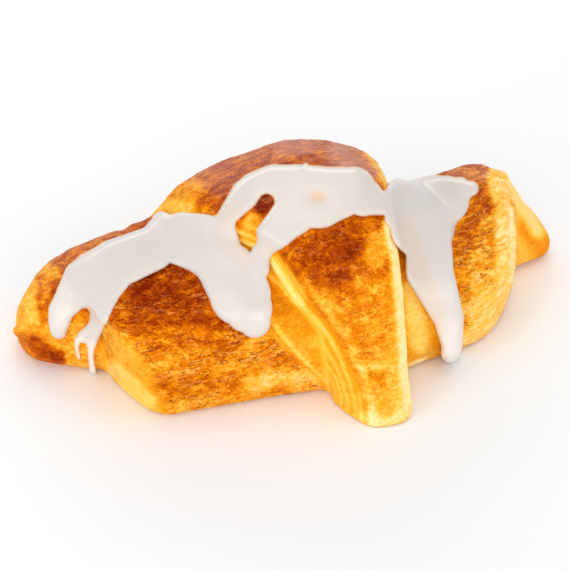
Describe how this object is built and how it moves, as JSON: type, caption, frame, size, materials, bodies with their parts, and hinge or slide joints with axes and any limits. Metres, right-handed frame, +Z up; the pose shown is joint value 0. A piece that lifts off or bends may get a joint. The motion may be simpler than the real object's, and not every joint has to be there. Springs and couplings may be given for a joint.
{
  "type": "croissant",
  "caption": "Iced croissant: a rolled flaky pastry with tapering horns, an outer wrap that narrows to a tongue in front, and white sugar icing poured over its top and front.",
  "frame": {"origin": "centre of the bounding box at the underside, on the surface the croissant rests on", "axes": "+X along the roll to the pointed right horn, +Y to the back, so that the tongue of the outer wrap points to -Y, +Z up"},
  "size_m": [0.1848, 0.0998, 0.0642],
  "materials": {
    "crust": "baked puff pastry, golden at the sides to dark brown on top, satin egg-washed crust with fine wrinkles and open layers",
    "icing": "set white sugar icing, satin gloss, warmer where it is thin"
  },
  "bodies": {
    "root": {"croissant": "crust", "icing": "icing"}
  },
  "joints": []
}
